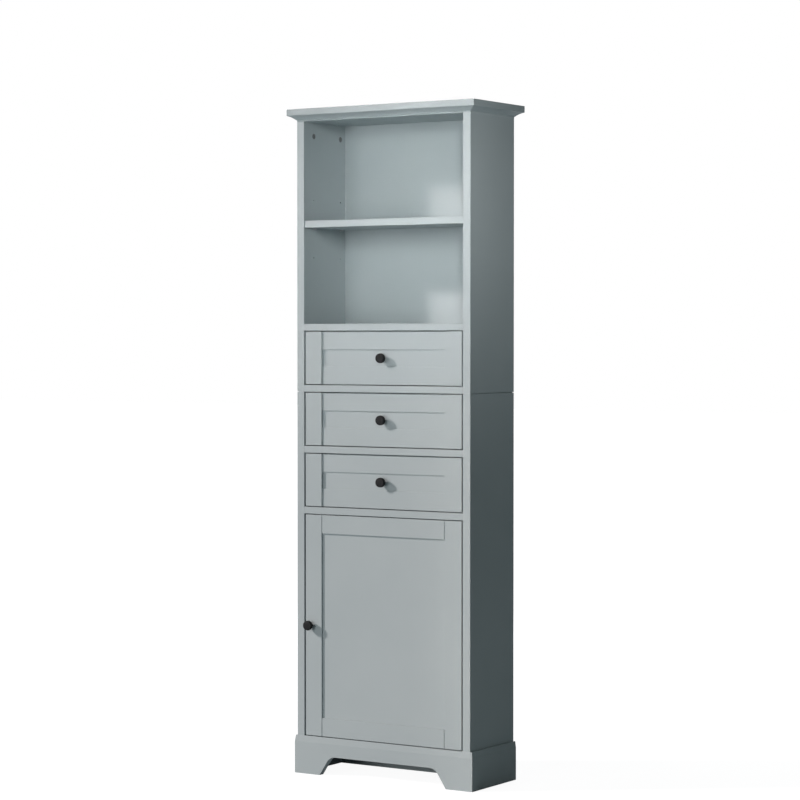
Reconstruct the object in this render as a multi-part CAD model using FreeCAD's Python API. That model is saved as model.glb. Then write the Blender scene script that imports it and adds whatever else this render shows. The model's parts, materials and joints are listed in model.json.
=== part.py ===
import FreeCAD, Part
import math
import os

Vector = FreeCAD.Vector

# A tall freestanding bathroom cabinet in painted fibreboard, made as two stacked modules on a plinth.
# From the top: a coved cornice, an open bay with one shelf, three inset drawers and an inset hinged door.
# Millimetres, +X to the right, +Y to the back, +Z up. While it is built, y = 0 is the front plane of the
# side panels and z = 0 the floor. At the end every piece moves so that the origin is on the floor under
# the middle of the whole object.

# Carcass boards
BODY_WIDTH = 529.0
BODY_DEPTH = 216.0
SIDE_T = 22.0
BOARD_T = 18.0
BACK_T = 5.0
BACK_INSET = 20.0
BACK_GROOVE = 6.0
GROOVE_PLAY = 0.5
BACK_RAIL_H = 60.0
RAIL_DEPTH = 60.0
EDGE_EASE = 1.0
SEAM_GAP = 1.4
SEAM_DEPTH = 3.0

# Heights of the openings, from the floor up
PLINTH_H = 99.5
DOOR_OPENING_H = 582.0
DRAWER_OPENING_H = 141.0
LOWER_BAY_H = 250.5
UPPER_BAY_H = 258.0

# Cornice
TOP_T = 16.0
SUB_TOP_T = 16.0
SIDE_OVERHANG = 21.0
FRONT_OVERHANG = 18.5
BACK_OVERHANG = 18.0
COVE_H = 12.0
COVE_LIP = 0.6
COVE_FOOT = 1.0
COVE_SAG = 1.3

# Plinth
PLINTH_T = 16.0
PLINTH_FRONT_T = 18.0
PLINTH_LEDGE = 5.2
PLINTH_BEVEL = 2.2
PLINTH_BEVEL_H = 16.0
PLINTH_LIP = 8.0
PLINTH_BACK_INSET = 8.0
FOOT_W = 78.0
ARCH_H = 50.0
ARCH_RUN = 33.0
ARCH_R = 28.0

# Shelves
SHELF_SETBACK = 2.5
SHELF_PLAY = 0.5
CUPBOARD_SHELF_SETBACK = 42.0
CUPBOARD_SHELF_UP = 280.0
PIN_R = 2.5
PIN_DEPTH = 10.0
PIN_TAB = 8.0
PIN_TAB_T = 3.0
PIN_PITCH = 75.0
FITTING_FRONT_Y = 45.0
FITTING_BACK_MARGIN = 22.0

# Cam fittings and dowels
CAM_R = 7.5
CAM_SKIN = 4.5
CAM_OFFSET = 36.0
CAM_SLOT = (9.0, 1.6, 2.0)
BOLT_R = 3.0
BOLT_GRIP = 11.0
DOWEL_R = 4.0
DOWEL_GRIP = 15.0

# Framed fronts
FRONT_T = 18.0
FRONT_SETBACK = 1.0
FRONT_GAP = 2.2
SIDE_GAP = 4.0
STILE_W = 50.0
PANEL_T = 5.0
PANEL_TONGUE = 8.0
FRONT_EASE = 0.6
DRAWER_RAIL_W = 46.5
DRAWER_RAIL_BACK = 4.0
DRAWER_PANEL_BACK = 7.0
DOOR_RAIL_W = 48.0
DOOR_PANEL_BACK = 5.0
DOOR_JOINT_W = 2.2
DOOR_JOINT_DEPTH = 2.0

# Drawer boxes
BOX_SIDE_T = 12.0
BOX_H = 105.0
BOX_LIFT = 14.0
BOX_REAR_GAP = 8.0
BOX_BOTTOM_T = 5.0
BOX_BOTTOM_UP = 8.0
BOX_GROOVE = 6.0

# Drawer slides: three channels inside one another
SLIDE_T = 12.7
SLIDE_HALF_H = 17.5
SLIDE_WALL = 1.2
SLIDE_PLAY = 0.7
SLIDE_WEB_GAP = 3.0
SLIDE_FLANGE = 7.8
SLIDE_SETBACK = 2.0
SLIDE_END_GAP = 8.0

# Knobs
KNOB_HEAD_R = 12.7
KNOB_LENGTH = 22.0
KNOB_HEAD_T = 11.5
KNOB_DOME = 1.2
KNOB_RIM = 0.8
KNOB_BASE_R = 5.0
KNOB_BASE_T = 2.0
KNOB_NECK_R = 4.2
KNOB_SCREW_R = 2.0
KNOB_SCREW_GRIP = 9.0
KNOB_SCREW_HEAD_R = 4.0
KNOB_SCREW_HEAD_T = 2.0
DOOR_KNOB_EDGE = 17.0

# Concealed hinges
HINGE_END = 90.0
CUP_R = 17.5
CUP_EDGE = 21.5
CUP_DEPTH = 13.0
CUP_WALL = 0.8
CUP_FLANGE_T = 1.2
CUP_FLANGE_RIM = 2.0
CUP_BAR_W = 14.0
CUP_SCREW_OUT = 24.0
CUP_SCREW_MARGIN = 6.0
PIVOT_EDGE = 22.0
PIVOT_DEPTH = 9.0
PIVOT_R = 1.5
PIVOT_PLAY = 0.05
KNUCKLE_R = 2.6
ARM_T = 2.4
ARM_W = 12.0
ARM_START_DEG = 140.0
ARM_SWEEP_GAP = 0.5
ARM_REACH = 40.0
PLATE_T = 2.0
PLATE_H = 44.0
PLATE_SCREW_OUT = 16.0
PLATE_SCREW_BACK = 18.0
SCREW_R = 1.7
SCREW_LENGTH = 11.0
SCREW_HEAD_R = 3.5
SCREW_HEAD_T = 1.5

# Magnetic catch
CATCH_SIZE = (45.0, 15.0, 14.0)
CATCH_FROM_SIDE = 22.0
CATCH_PLATE_SIZE = (32.0, 1.0, 11.0)
CATCH_GAP = 0.3

# Levels, each the underside of the board or the bottom of the opening that it names
z_bottom_board = PLINTH_H - BOARD_T
z_cupboard_top = PLINTH_H + DOOR_OPENING_H
z_drawer_3 = z_cupboard_top + BOARD_T
z_drawer_rail = z_drawer_3 + DRAWER_OPENING_H
z_drawer_2 = z_drawer_rail + BOARD_T
z_seam = z_drawer_2 + DRAWER_OPENING_H
z_drawer_1 = z_seam + BOARD_T
z_bay_floor = z_drawer_1 + DRAWER_OPENING_H
z_lower_bay = z_bay_floor + BOARD_T
z_shelf = z_lower_bay + LOWER_BAY_H
z_upper_bay = z_shelf + BOARD_T
z_sub_top = z_upper_bay + UPPER_BAY_H
z_top = z_sub_top + SUB_TOP_T
z_cupboard_shelf = PLINTH_H + CUPBOARD_SHELF_UP

# Widths and depths that several pieces share
half_width = BODY_WIDTH / 2
inner_half = half_width - SIDE_T
front_half = inner_half - SIDE_GAP
front_face = FRONT_SETBACK
front_rear = FRONT_SETBACK + FRONT_T
back_face = BODY_DEPTH - BACK_INSET - BACK_T
back_rear = back_face + BACK_T
fitting_ys = (FITTING_FRONT_Y, back_face - FITTING_BACK_MARGIN)
cam_depth = BOARD_T - CAM_SKIN
plinth_half = half_width + PLINTH_LEDGE + PLINTH_BEVEL
plinth_rear = PLINTH_FRONT_T - PLINTH_BEVEL

AXES = {"x": Vector(1, 0, 0), "y": Vector(0, 1, 0), "z": Vector(0, 0, 1)}
SIDES = {"left": -1, "right": 1}
pieces = {}


def block(x, y, z):
    """A box between two x, two y and two z values, given in any order."""
    low = [min(pair) for pair in (x, y, z)]
    size = [max(pair) - min(pair) for pair in (x, y, z)]
    return Part.makeBox(size[0], size[1], size[2], Vector(low[0], low[1], low[2]))


def eased(solid, along, radius=EDGE_EASE):
    """Rounds the edges that run along the named axes, as a painted board's edges are."""
    edges = []
    for edge in solid.Edges:
        direction = edge.tangentAt(edge.FirstParameter)
        if any(abs(direction.dot(AXES[name])) > 0.999 for name in along):
            edges.append(edge)
    return solid.makeFillet(radius, edges)


def rod(start, axis, length, radius):
    """A round rod from a start point along the named axis; a negative length runs the other way."""
    direction = AXES[axis] * (1 if length > 0 else -1)
    return Part.makeCylinder(radius, abs(length), start, direction)


def prism_y(edges, y0, y1):
    """A closed outline in the XZ plane carried from y0 to y1."""
    face = Part.Face(Part.Wire(edges))
    face.translate(Vector(0, y0, 0))
    return face.extrude(Vector(0, y1 - y0, 0))


def add(node, *solids):
    """Keeps the solids of one node."""
    pieces.setdefault(node, []).extend(solids)


def drill(node, tool):
    """Takes a tool's shape out of every solid of a node."""
    pieces[node] = [solid.cut(tool) for solid in pieces[node]]


def mirrored_x(solid):
    return solid.mirror(Vector(0, 0, 0), AXES["x"])


# Carcass
def back_groove(z0, z1):
    """The slot that a back panel runs in, cut into everything that holds it."""
    half = inner_half + BACK_GROOVE
    return block((-half, half), (back_face, back_rear), (z0 - BACK_GROOVE, z1 + BACK_GROOVE))


def back_panel(z0, z1, grip_top):
    """A thin back between two boards: it stands in the lower board and may reach into the upper one."""
    half = inner_half + BACK_GROOVE - GROOVE_PLAY
    top = z1 + (BACK_GROOVE - GROOVE_PLAY if grip_top else -GROOVE_PLAY)
    return block((-half, half), (back_face, back_rear), (z0 - BACK_GROOVE + GROOVE_PLAY, top))


def side_panels():
    """The sides of the two modules. A fine groove runs round the foot of the upper ones, at the seam."""
    groove_z = (z_seam, z_seam + SEAM_GAP)
    for name, sign in SIDES.items():
        x = (sign * inner_half, sign * half_width)
        foot_x = (sign * inner_half, sign * (half_width - SEAM_DEPTH))
        foot = block(foot_x, (SEAM_DEPTH, BODY_DEPTH - SEAM_DEPTH), groove_z)
        groove = block(x, (0, BODY_DEPTH), groove_z).cut(foot)
        upper = eased(block(x, (0, BODY_DEPTH), (z_seam, z_sub_top)), "z")
        add("upper_side_" + name, upper.cut(groove))
        add("lower_side_" + name, eased(block(x, (0, BODY_DEPTH), (PLINTH_H, z_seam)), "z"))
        drill("upper_side_" + name, back_groove(z_drawer_1, z_sub_top))
        drill("lower_side_" + name, back_groove(PLINTH_H, z_seam))


def full_boards():
    """Boards that run over the ends of the side panels."""
    full = (-half_width, half_width)
    add("sub_top_board", eased(block(full, (0, BODY_DEPTH), (z_sub_top, z_top)), "x"))
    add("bottom_board", block(full, (PLINTH_LIP - PLINTH_BEVEL, BODY_DEPTH), (z_bottom_board, PLINTH_H)))
    drill("sub_top_board", back_groove(z_drawer_1, z_sub_top))
    drill("bottom_board", back_groove(PLINTH_H, z_seam))


def inner_boards():
    """Boards between the side panels."""
    between = (-inner_half, inner_half)
    to_back = (0, back_face)
    add("upper_bottom_board", eased(block(between, (0, BODY_DEPTH), (z_seam, z_drawer_1)), "x"))
    drill("upper_bottom_board", back_groove(z_drawer_1, z_sub_top))
    add("bay_floor", eased(block(between, to_back, (z_bay_floor, z_lower_bay)), "x"))
    add("cupboard_top", eased(block(between, to_back, (z_cupboard_top, z_drawer_3)), "x"))
    add("drawer_rail", eased(block(between, (0, RAIL_DEPTH), (z_drawer_rail, z_drawer_2)), "x"))
    add("lower_back_rail", block(between, (back_rear, back_rear + BOARD_T), (z_seam - BACK_RAIL_H, z_seam)))
    add("upper_back_panel", back_panel(z_drawer_1, z_sub_top, True))
    add("lower_back_panel", back_panel(PLINTH_H, z_seam, False))


def loose_shelf(node, z, setback):
    """A shelf that rests on pins, a little clear of the sides and the back."""
    half = inner_half - SHELF_PLAY
    add(node, eased(block((-half, half), (setback, back_face - SHELF_PLAY), (z, z + BOARD_T)), "x"))


def shelf_pin(sign, y, z):
    """A peg in the side panel with a flat tab under the shelf, and the peg alone for its hole."""
    peg = rod(Vector(sign * inner_half, y, z - PIN_R), "x", sign * PIN_DEPTH, PIN_R)
    x = (sign * inner_half, sign * (inner_half - PIN_TAB))
    tab = block(x, (y - PIN_TAB / 2, y + PIN_TAB / 2), (z - PIN_TAB_T, z))
    return peg.fuse(tab).removeSplitter(), peg


def shelves():
    loose_shelf("open_shelf", z_shelf, SHELF_SETBACK)
    loose_shelf("cupboard_shelf", z_cupboard_shelf, CUPBOARD_SHELF_SETBACK)
    cupboard_ys = (CUPBOARD_SHELF_SETBACK + PIN_TAB, fitting_ys[1])
    for name, sign in SIDES.items():
        for y in fitting_ys:
            pin, hole = shelf_pin(sign, y, z_shelf)
            add("shelf_pins", pin)
            for step in (-PIN_PITCH, 0, PIN_PITCH):
                drill("upper_side_" + name, hole.translated(Vector(0, 0, step)))
        for y in cupboard_ys:
            pin, hole = shelf_pin(sign, y, z_cupboard_shelf)
            add("shelf_pins", pin)
            drill("lower_side_" + name, hole)


# Cam fittings and dowels
def cam_disc(face, axis, sign):
    """A cam housing let into a face, with a cross slot for the screwdriver, and its bare bore."""
    bore = rod(face, axis, sign * cam_depth, CAM_R)
    length, width, depth = CAM_SLOT
    cross = [length / 2, length / 2, length / 2]
    disc = bore
    along = "xyz".index(axis)
    for narrow in range(3):
        if narrow == along:
            continue
        half = list(cross)
        half[narrow] = width / 2
        half[along] = depth
        spans = [(face[i] - half[i], face[i] + half[i]) for i in range(3)]
        disc = disc.cut(block(*spans))
    return disc, bore


def cam_joint(board, mate, face, axis, sign, bolt_start, bolt_axis, bolt_length):
    """A cam in one board that draws in a bolt screwed into the board it meets."""
    disc, bore = cam_disc(face, axis, sign)
    bolt = rod(bolt_start, bolt_axis, bolt_length, BOLT_R)
    add("cam_locks", disc.cut(bolt), bolt)
    drill(board, bore)
    drill(board, bolt)
    drill(mate, bolt)


def cams_in_sides():
    """Cams in the inner faces of the side panels, with upright bolts into the boards above or below."""
    joints = (
        ("upper_side_", "sub_top_board", z_sub_top, 1),
        ("lower_side_", "bottom_board", PLINTH_H, -1),
    )
    for side, mate, z, up in joints:
        for name, sign in SIDES.items():
            for y in fitting_ys:
                face = Vector(sign * inner_half, y, z - up * CAM_OFFSET)
                start = Vector(sign * (inner_half + BOARD_T / 2), y, face.z)
                cam_joint(side + name, mate, face, "x", sign, start, "z", up * (CAM_OFFSET + BOLT_GRIP))


def cams_in_boards():
    """Cams in the undersides of the inner boards, with level bolts into the side panels."""
    joints = (
        ("bay_floor", "upper_side_", z_bay_floor, fitting_ys),
        ("upper_bottom_board", "upper_side_", z_seam, fitting_ys),
        ("cupboard_top", "lower_side_", z_cupboard_top, fitting_ys),
        ("drawer_rail", "lower_side_", z_drawer_rail, (RAIL_DEPTH / 2,)),
    )
    for board, side, z, ys in joints:
        for name, sign in SIDES.items():
            for y in ys:
                face = Vector(sign * (inner_half - CAM_OFFSET), y, z)
                start = face + Vector(0, 0, BOARD_T / 2)
                cam_joint(board, side + name, face, "z", 1, start, "x", sign * (CAM_OFFSET + BOLT_GRIP))


def stacking_dowels():
    """Dowels that locate the upper module's sides on those of the lower one."""
    for name, sign in SIDES.items():
        for y in fitting_ys:
            x = sign * (inner_half + SIDE_T / 2)
            clear_y = y + CAM_R + DOWEL_R + BOLT_R
            dowel = rod(Vector(x, clear_y, z_seam - DOWEL_GRIP), "z", 2 * DOWEL_GRIP, DOWEL_R)
            add("stacking_dowels", dowel)
            drill("lower_side_" + name, dowel)
            drill("upper_side_" + name, dowel)


# Cornice
def cove_profile(reach):
    """The cove's section as (outward, height) points: a slope from a small foot at the body out to the
    top board's edge, hollowed a little along its length."""
    out = reach - COVE_LIP
    low = z_top - COVE_H
    high = z_top - COVE_LIP
    run = out - COVE_FOOT
    rise = high - low
    hollow = COVE_SAG / math.hypot(run, rise)
    mid_point = (COVE_FOOT + run / 2 - rise * hollow, low + rise / 2 + run * hollow)
    return [(0, z_top), (0, low), (COVE_FOOT, low), mid_point, (out, high), (out, z_top)]


def cove_run(reach, half_length, place):
    """One cove moulding of a given half length; place puts a (along, outward, height) point in space."""
    points = cove_profile(reach)
    start = [place(-half_length, out, z) for out, z in points]
    edges = [
        Part.LineSegment(start[0], start[1]).toShape(),
        Part.LineSegment(start[1], start[2]).toShape(),
        Part.Arc(start[2], start[3], start[4]).toShape(),
        Part.LineSegment(start[4], start[5]).toShape(),
        Part.LineSegment(start[5], start[0]).toShape(),
    ]
    travel = place(half_length, 0, 0) - place(-half_length, 0, 0)
    return Part.Face(Part.Wire(edges)).extrude(travel)


def mitre_prism(corners):
    """The plan area of one moulding, between the mitre lines, as a tall prism."""
    wire = Part.makePolygon([Vector(x, y, z_sub_top) for x, y in corners + corners[:1]])
    return Part.Face(wire).extrude(Vector(0, 0, SUB_TOP_T + TOP_T))


def cornice():
    side_reach = half_width + SIDE_OVERHANG
    rear_reach = BODY_DEPTH + BACK_OVERHANG
    top = block((-side_reach, side_reach), (-FRONT_OVERHANG, rear_reach), (z_top, z_top + TOP_T))
    add("top_board", eased(top, "xyz"))
    inner = [(-half_width, 0), (half_width, 0), (half_width, BODY_DEPTH), (-half_width, BODY_DEPTH)]
    outer = [
        (-side_reach, -FRONT_OVERHANG),
        (side_reach, -FRONT_OVERHANG),
        (side_reach, rear_reach),
        (-side_reach, rear_reach),
    ]
    mid_y = (rear_reach - FRONT_OVERHANG) / 2
    half_run = (rear_reach + FRONT_OVERHANG) / 2
    runs = (
        cove_run(FRONT_OVERHANG, side_reach, lambda a, o, z: Vector(a, -o, z)),
        cove_run(SIDE_OVERHANG, half_run, lambda a, o, z: Vector(half_width + o, mid_y + a, z)),
        cove_run(BACK_OVERHANG, side_reach, lambda a, o, z: Vector(a, BODY_DEPTH + o, z)),
        cove_run(SIDE_OVERHANG, half_run, lambda a, o, z: Vector(-half_width - o, mid_y + a, z)),
    )
    for i, run in enumerate(runs):
        after = (i + 1) % len(runs)
        prism = mitre_prism([inner[i], outer[i], outer[after], inner[after]])
        add("cornice_cove", run.common(prism))


# Plinth
def bevelled(x_low, x_high, y0, y1, outer_left, outer_right, outer_front):
    """A plinth board whose outer upper edges lean in over the bevel's height."""
    solid = block((x_low, x_high), (y0, y1), (0, PLINTH_H))
    z_break = PLINTH_H - PLINTH_BEVEL_H
    deep = Vector(0, y1 - y0, 0)
    wide = Vector(x_high - x_low, 0, 0)
    if outer_left:
        solid = solid.cut(bevel_wedge(Vector(x_low, y0, z_break), Vector(1, 0, 0), deep))
    if outer_right:
        solid = solid.cut(bevel_wedge(Vector(x_high, y0, z_break), Vector(-1, 0, 0), deep))
    if outer_front:
        solid = solid.cut(bevel_wedge(Vector(x_low, y0, z_break), Vector(0, 1, 0), wide))
    return solid


def bevel_wedge(foot, inward, run):
    """The sliver that a bevel takes off: nothing at its foot, the bevel's width at the top."""
    top = foot + Vector(0, 0, PLINTH_BEVEL_H)
    wire = Part.makePolygon([foot, top, top + inward * PLINTH_BEVEL, foot])
    return Part.Face(wire).extrude(run)


def arch_tool():
    """The front's cut-out: sloping cheeks that turn through an arc into a level top."""
    foot = plinth_half - FOOT_W
    top = foot - ARCH_RUN
    slope = math.atan2(ARCH_H, ARCH_RUN)
    reach = ARCH_R * math.tan(slope / 2)
    on_cheek = Vector(top + reach * math.cos(slope), 0, ARCH_H - reach * math.sin(slope))
    on_top = Vector(top - reach, 0, ARCH_H)
    centre = Vector(top - reach, 0, ARCH_H - ARCH_R)
    turn = math.pi / 2 - slope / 2
    mid = centre + Vector(math.cos(turn), 0, math.sin(turn)) * ARCH_R

    def flip(point):
        return Vector(-point.x, point.y, point.z)

    low = Vector(foot, 0, 0)
    edges = [
        Part.LineSegment(flip(low), low).toShape(),
        Part.LineSegment(low, on_cheek).toShape(),
        Part.Arc(on_cheek, mid, on_top).toShape(),
        Part.LineSegment(on_top, flip(on_top)).toShape(),
        Part.Arc(flip(on_top), flip(mid), flip(on_cheek)).toShape(),
        Part.LineSegment(flip(on_cheek), flip(low)).toShape(),
    ]
    return prism_y(edges, -PLINTH_BEVEL, plinth_rear)


def plinth():
    front = bevelled(-plinth_half, plinth_half, -PLINTH_BEVEL, plinth_rear, True, True, True)
    add("plinth_front", front.cut(arch_tool()))
    inner = plinth_half - PLINTH_T
    add("plinth_left", bevelled(-plinth_half, -inner, plinth_rear, BODY_DEPTH, True, False, False))
    add("plinth_right", bevelled(inner, plinth_half, plinth_rear, BODY_DEPTH, False, True, False))
    rear = BODY_DEPTH - PLINTH_BACK_INSET
    add("plinth_back", block((-inner, inner), (rear - PLINTH_T, rear), (0, z_bottom_board)))
    for node in ("plinth_front", "plinth_left", "plinth_right"):
        for board in pieces["bottom_board"]:
            drill(node, board)


# Framed fronts and knobs
def framed_front(z0, z1, rail_w, rail_back, panel_back):
    """Two stiles, two rails and a panel in their grooves; rails and panel lie back from the stiles' face."""
    stile = front_half - STILE_W
    low = z0 + rail_w
    high = z1 - rail_w
    panel_x = (-stile - PANEL_TONGUE, stile + PANEL_TONGUE)
    panel_y = (front_face + panel_back, front_face + panel_back + PANEL_T)
    panel = block(panel_x, panel_y, (low - PANEL_TONGUE, high + PANEL_TONGUE))
    upright = block((stile, front_half), (front_face, front_rear), (z0, z1))
    stiles = [mirrored_x(upright), upright]
    rail_y = (front_face + rail_back, front_rear)
    rails = [block((-stile, stile), rail_y, (z0, low)), block((-stile, stile), rail_y, (high, z1))]
    stiles = [eased(solid, "xz", FRONT_EASE).cut(panel) for solid in stiles]
    rails = [eased(solid, "x", FRONT_EASE).cut(panel) for solid in rails]
    return stiles, rails, panel


def knob_and_screw(face, grip):
    """A turned knob standing out of a face towards the front, and the screw that holds it from behind."""
    head_back = KNOB_LENGTH - KNOB_HEAD_T
    dome_start = KNOB_LENGTH - KNOB_DOME
    shoulder_r = KNOB_HEAD_R - KNOB_RIM
    neck = Vector(KNOB_NECK_R, -(KNOB_BASE_T + head_back) / 2, 0)
    ball_r = (shoulder_r ** 2 + KNOB_DOME ** 2) / (2 * KNOB_DOME)
    half_angle = math.asin(shoulder_r / ball_r) / 2
    crown = Vector(ball_r * math.sin(half_angle), -KNOB_LENGTH + ball_r * (1 - math.cos(half_angle)), 0)
    base = Vector(KNOB_BASE_R, -KNOB_BASE_T, 0)
    under = Vector(shoulder_r, -head_back, 0)
    rim = Vector(KNOB_HEAD_R, -(head_back + dome_start) / 2, 0)
    shoulder = Vector(shoulder_r, -dome_start, 0)
    tip = Vector(0, -KNOB_LENGTH, 0)
    foot = Vector(KNOB_BASE_R, 0, 0)
    edges = [
        Part.LineSegment(Vector(0, 0, 0), foot).toShape(),
        Part.LineSegment(foot, base).toShape(),
        Part.Arc(base, neck, under).toShape(),
        Part.Arc(under, rim, shoulder).toShape(),
        Part.Arc(shoulder, crown, tip).toShape(),
        Part.LineSegment(tip, Vector(0, 0, 0)).toShape(),
    ]
    turned = Part.Face(Part.Wire(edges)).revolve(Vector(0, 0, 0), AXES["y"], 360)
    knob = Part.makeSolid(turned.Shells[0]).translated(face)
    shank = rod(face - Vector(0, KNOB_SCREW_GRIP, 0), "y", KNOB_SCREW_GRIP + grip, KNOB_SCREW_R)
    head = rod(face + Vector(0, grip, 0), "y", KNOB_SCREW_HEAD_T, KNOB_SCREW_HEAD_R)
    return knob.cut(shank), shank.fuse(head).removeSplitter(), shank


# Drawers
def slide_member(sign, u_web, u_tip, half_h, y, z):
    """A C-section along Y: the web lies u_web from the cabinet side and the flanges run to u_tip."""
    toward = 1 if u_tip > u_web else -1
    web_end = u_web + toward * SLIDE_WALL

    def x_of(u):
        return sign * (inner_half - u)

    outer = block((x_of(u_web), x_of(u_tip)), y, (z - half_h, z + half_h))
    clear = half_h - SLIDE_WALL
    return outer.cut(block((x_of(web_end), x_of(u_tip)), y, (z - clear, z + clear)))


def drawer_slides(drawer, z, y):
    """Outer, middle and inner channels on both sides of one drawer."""
    nested = SLIDE_WALL + SLIDE_PLAY
    middle_web = SLIDE_WALL + SLIDE_WEB_GAP
    for sign in SIDES.values():
        outer = slide_member(sign, 0, SLIDE_WALL + SLIDE_FLANGE, SLIDE_HALF_H, y, z)
        middle_tip = middle_web + SLIDE_WALL + SLIDE_FLANGE / 2
        middle = slide_member(sign, middle_web, middle_tip, SLIDE_HALF_H - nested, y, z)
        inner_tip = middle_web + SLIDE_WALL + SLIDE_PLAY
        inner = slide_member(sign, SLIDE_T, inner_tip, SLIDE_HALF_H - 2 * nested, y, z)
        add("slide_outer_members", outer)
        add(drawer + "_slide_middle", middle)
        add(drawer + "_slide_inner", inner)


def drawer_box(drawer, z0):
    """Two sides and a back round a thin bottom that runs in grooves and under the back."""
    outer = inner_half - SLIDE_T
    inner = outer - BOX_SIDE_T
    rear = back_face - BOX_REAR_GAP
    z1 = z0 + BOX_H
    floor = (z0 + BOX_BOTTOM_UP, z0 + BOX_BOTTOM_UP + BOX_BOTTOM_T)
    bottom = block((-inner - BOX_GROOVE, inner + BOX_GROOVE), (front_rear, rear), floor)
    side = eased(block((inner, outer), (front_rear, rear), (z0, z1)), "y").cut(bottom)
    back = block((-inner, inner), (rear - BOX_SIDE_T, rear), (floor[1], z1))
    add(drawer + "_box", side, mirrored_x(side), back)
    add(drawer + "_bottom", bottom)
    slide_y = (front_rear + SLIDE_SETBACK, rear - SLIDE_END_GAP)
    drawer_slides(drawer, (z0 + z1) / 2, slide_y)


def drawers():
    for number, z_open in ((1, z_drawer_1), (2, z_drawer_2), (3, z_drawer_3)):
        drawer = "drawer_" + str(number)
        z0 = z_open + FRONT_GAP
        z1 = z_open + DRAWER_OPENING_H - FRONT_GAP
        stiles, rails, panel = framed_front(z0, z1, DRAWER_RAIL_W, DRAWER_RAIL_BACK, DRAWER_PANEL_BACK)
        middle = Vector(0, front_face + DRAWER_PANEL_BACK, (z0 + z1) / 2)
        knob, screw, hole = knob_and_screw(middle, PANEL_T)
        add(drawer + "_front_frame", *stiles, *rails)
        add(drawer + "_front_panel", panel.cut(hole))
        add(drawer + "_knob", knob, screw)
        drawer_box(drawer, z_open + BOX_LIFT)


# Door and hinges
def screw_along_y(x, y, z):
    """A flat headed screw driven towards the front from a face at y."""
    shank = rod(Vector(x, y, z), "y", -SCREW_LENGTH, SCREW_R)
    head = rod(Vector(x, y, z), "y", SCREW_HEAD_T, SCREW_HEAD_R)
    return shank.fuse(head).removeSplitter(), shank


def hinge_cup(x, z):
    """A round cup let into the back of the door, with a flange bar, and the bore it sits in."""
    floor = front_rear - CUP_DEPTH
    bore = rod(Vector(x, floor, z), "y", CUP_DEPTH, CUP_R)
    rim = rod(Vector(x, front_rear, z), "y", CUP_FLANGE_T, CUP_R + CUP_FLANGE_RIM)
    bar_half = CUP_SCREW_OUT + CUP_SCREW_MARGIN
    bar_x = (x - CUP_BAR_W / 2, x + CUP_BAR_W / 2)
    bar = block(bar_x, (front_rear, front_rear + CUP_FLANGE_T), (z - bar_half, z + bar_half))
    cavity = rod(Vector(x, floor + CUP_WALL, z), "y", CUP_DEPTH + CUP_FLANGE_T, CUP_R - CUP_WALL)
    cup = bore.fuse(rim).fuse(bar).removeSplitter().cut(cavity)
    return cup, bore, cavity


def hinge_arm(pivot, z):
    """A flat bar bent round the door's edge: a knuckle on the pivot, a neck out of the cup, an arc that
    clears the door's corner as it swings, and a leg along the mounting plate."""
    corner = math.hypot(PIVOT_EDGE, max(PIVOT_DEPTH, FRONT_T - PIVOT_DEPTH))
    inner_r = corner + ARM_SWEEP_GAP
    outer_r = inner_r + ARM_T
    low = z - ARM_W / 2
    base = Vector(pivot.x, pivot.y, low)
    axis = AXES["z"]
    knuckle = Part.makeCylinder(KNUCKLE_R, ARM_W, base)
    width = (low, low + ARM_W)
    neck = block((pivot.x, pivot.x + outer_r), (pivot.y - ARM_T / 2, pivot.y + ARM_T / 2), width)
    neck.rotate(base, axis, ARM_START_DEG)
    sweep = ARM_START_DEG - 90.0
    ring = Part.makeCylinder(outer_r, ARM_W, base, axis, sweep)
    ring = ring.cut(Part.makeCylinder(inner_r, ARM_W, base))
    ring.rotate(base, axis, 90.0)
    leg_x = (inner_half - PLATE_T - ARM_T, inner_half - PLATE_T)
    leg_y = (pivot.y + inner_r, pivot.y + inner_r + ARM_REACH)
    bridge = block((pivot.x, leg_x[1]), (leg_y[0], leg_y[0] + ARM_T), width)
    leg = block(leg_x, leg_y, width)
    arm = knuckle.multiFuse([neck, ring, bridge, leg]).removeSplitter()
    bore = rod(Vector(pivot.x, pivot.y, low), "z", ARM_W, PIVOT_R + PIVOT_PLAY)
    plate_y = (leg_y[0] + ARM_T, leg_y[1])
    return arm.cut(bore), plate_y


def hinge(z):
    cup_x = front_half - CUP_EDGE
    pivot = Vector(front_half - PIVOT_EDGE, front_face + PIVOT_DEPTH, z)
    cup, bore, cavity = hinge_cup(cup_x, z)
    pin = rod(pivot - Vector(0, 0, CUP_R), "z", 2 * CUP_R, PIVOT_R).common(cavity)
    add("hinge_cups", cup, pin)
    drill("door_stile_right", bore)
    for out in (-CUP_SCREW_OUT, CUP_SCREW_OUT):
        screw, shank = screw_along_y(cup_x, front_rear + CUP_FLANGE_T, z + out)
        add("hinge_cup_screws", screw)
        drill("hinge_cups", shank)
        drill("door_stile_right", shank)
    arm, plate_y = hinge_arm(pivot, z)
    add("hinge_arms", arm)
    plate_x = (inner_half - PLATE_T, inner_half)
    add("hinge_plates", block(plate_x, plate_y, (z - PLATE_H / 2, z + PLATE_H / 2)))
    for out in (-PLATE_SCREW_OUT, PLATE_SCREW_OUT):
        start = Vector(inner_half - PLATE_T, plate_y[0] + PLATE_SCREW_BACK, z + out)
        shank = rod(start, "x", SCREW_LENGTH, SCREW_R)
        head = rod(start, "x", -SCREW_HEAD_T, SCREW_HEAD_R)
        add("hinge_plate_screws", shank.fuse(head).removeSplitter())
        drill("hinge_plates", shank)
        drill("lower_side_right", shank)


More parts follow.
